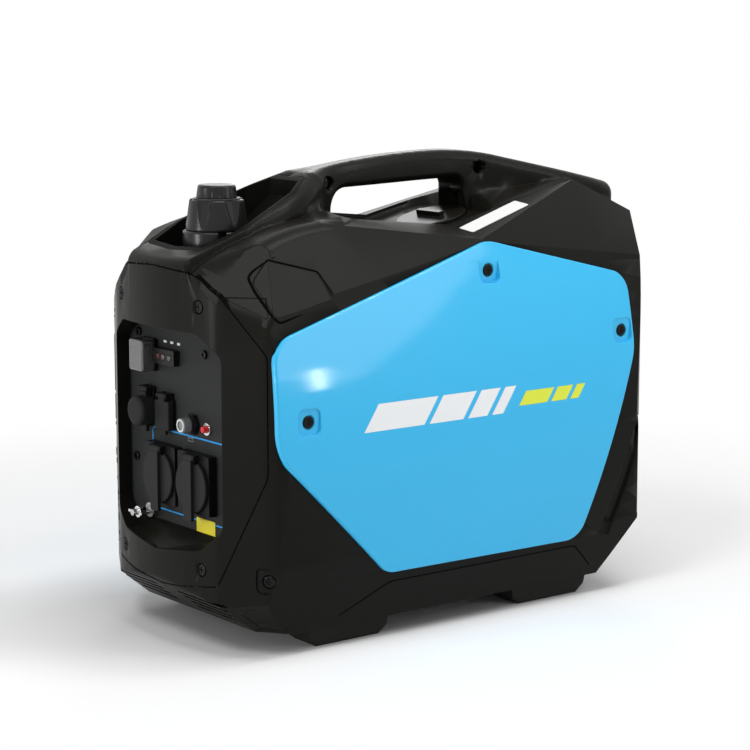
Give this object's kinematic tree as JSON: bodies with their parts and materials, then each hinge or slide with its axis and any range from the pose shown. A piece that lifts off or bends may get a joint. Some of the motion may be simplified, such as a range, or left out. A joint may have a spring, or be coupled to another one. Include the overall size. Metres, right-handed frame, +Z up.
{
  "type": "portable generator",
  "caption": "Portable inverter generator with a carrying handle, recessed control end with lidded outlets, twist fuel cap, plug access lid, pull starter and rubber feet.",
  "frame": {"origin": "centre of the ground footprint, on the plane of the feet", "axes": "+X along the length towards the exhaust end, the control end at -X; +Y across; +Z up"},
  "size_m": [0.53, 0.29, 0.445],
  "materials": {
    "body_black": "satin moulded black, fine grain",
    "panel_blue": "glossy sky blue",
    "foot_rubber": "matt",
    "screw_black": "black oxide",
    "cap_black": "satin",
    "ring_grey": "satin grey",
    "plate_black": "fine matt",
    "switch_black": "semi-gloss",
    "boot_rubber": "matt",
    "lens_red": "clear red lens",
    "lens_green": "clear green lens",
    "socket_black": "semi-gloss",
    "lid_black": "satin",
    "button_grey": "satin grey",
    "stud_steel": "zinc plated",
    "nut_chrome": "bright",
    "cast_alloy": "as cast",
    "winding_copper": "varnished windings",
    "rotor_iron": "machined",
    "inner_black": "plain moulded",
    "plug_white": "glazed ceramic",
    "exhaust_steel": "heat dulled"
  },
  "bodies": {
    "housing": {"right_shell": "body_black", "left_shell": "body_black", "front_cover": "body_black", "rear_cover": "body_black", "base_tray": "body_black", "fuel_tray": "body_black", "recoil_bezel": "body_black", "right_panel": "panel_blue", "left_panel": "panel_blue", "rubber_feet": "foot_rubber", "engine_mounts": "foot_rubber", "side_panel_screws": "screw_black", "corner_screws": "screw_black", "handle_screws": "screw_black", "front_cover_screws": "screw_black", "rear_cover_screws": "screw_black", "plate_screws": "screw_black", "filler_collar": "cap_black", "control_panel": "plate_black", "rocker_body": "switch_black", "indicator_block": "switch_black", "breaker_body": "switch_black", "reset_body": "switch_black", "rocker_boot": "boot_rubber", "lens_red": "lens_red", "lens_green": "lens_green", "dc_socket": "socket_black", "usb_socket": "socket_black", "outlet_left": "socket_black", "outlet_right": "socket_black", "ground_stud": "stud_steel", "crankcase": "cast_alloy", "cylinder_block": "cast_alloy", "cylinder_head": "cast_alloy", "carburettor": "cast_alloy", "inverter_unit": "cast_alloy", "stator": "winding_copper", "fan_shroud": "inner_black", "recoil_housing": "inner_black", "air_cleaner": "inner_black", "fuel_tank": "inner_black", "spark_plug": "plug_white", "muffler": "exhaust_steel", "exhaust_pipe": "exhaust_steel", "tail_pipe": "exhaust_steel"},
    "fuel_cap": {"fuel_cap": "cap_black", "cap_ring": "ring_grey"},
    "vent_knob": {"vent_knob": "cap_black"},
    "access_lid": {"access_lid": "body_black"},
    "rocker": {"rocker": "switch_black"},
    "dc_cap": {"dc_cap": "boot_rubber"},
    "usb_flap": {"usb_flap": "boot_rubber"},
    "breaker_button": {"breaker_button": "button_grey"},
    "reset_button": {"reset_button": "button_grey"},
    "lid_left": {"lid_left": "lid_black"},
    "lid_right": {"lid_right": "lid_black"},
    "wing_nut": {"wing_nut": "nut_chrome"},
    "crank": {"crankshaft": "stud_steel", "rotor": "rotor_iron"},
    "recoil_grip": {"recoil_grip": "cap_black"}
  },
  "joints": [
    {"name": "cap_turn", "type": "hinge", "parent": "housing", "child": "fuel_cap", "pos_m": [-0.193, 0, 0.381], "axis": [0, 0, 1], "range_deg": [0, 90]},
    {"name": "vent_turn", "type": "hinge", "parent": "fuel_cap", "child": "vent_knob", "pos_m": [-0.193, 0, 0.406], "axis": [0, 0, 1], "range_deg": [0, 90]},
    {"name": "plug_lid_lift", "type": "slide", "parent": "housing", "child": "access_lid", "axis": [-0.2425, 0, 0.9701], "range_m": [0, 0.01]},
    {"name": "rocker_tilt", "type": "hinge", "parent": "housing", "child": "rocker", "pos_m": [-0.237, 0.052, 0.262], "axis": [0, 1, 0], "range_deg": [-8, 8]},
    {"name": "dc_cap_open", "type": "hinge", "parent": "housing", "child": "dc_cap", "pos_m": [-0.243, 0.051, 0.229], "axis": [0, 1, 0], "range_deg": [0, 95]},
    {"name": "usb_flap_open", "type": "hinge", "parent": "housing", "child": "usb_flap", "pos_m": [-0.2415, 0.021, 0.226], "axis": [0, 1, 0], "range_deg": [0, 95]},
    {"name": "breaker_press", "type": "slide", "parent": "housing", "child": "breaker_button", "axis": [1, 0, 0], "range_m": [0, 0.003], "stiffness_N_per_m": 400},
    {"name": "reset_press", "type": "slide", "parent": "housing", "child": "reset_button", "axis": [1, 0, 0], "range_m": [0, 0.002], "stiffness_N_per_m": 400},
    {"name": "lid_left_open", "type": "hinge", "parent": "housing", "child": "lid_left", "pos_m": [-0.2474, 0.0246, 0.1769], "axis": [0, 1, 0], "range_deg": [0, 95], "stiffness_Nm_per_rad": 0.01},
    {"name": "lid_right_open", "type": "hinge", "parent": "housing", "child": "lid_right", "pos_m": [-0.2474, -0.0324, 0.1769], "axis": [0, 1, 0], "range_deg": [0, 95], "stiffness_Nm_per_rad": 0.01},
    {"name": "wing_nut_turn", "type": "hinge", "parent": "housing", "child": "wing_nut", "pos_m": [-0.25, 0.051, 0.112], "axis": [1, 0, 0], "continuous": true},
    {"name": "crank_spin", "type": "hinge", "parent": "housing", "child": "crank", "pos_m": [-0.05, 0, 0.152], "axis": [1, 0, 0], "continuous": true},
    {"name": "starter_pull", "type": "slide", "parent": "housing", "child": "recoil_grip", "axis": [0, 1, 0], "range_m": [0, 0.03]}
  ]
}
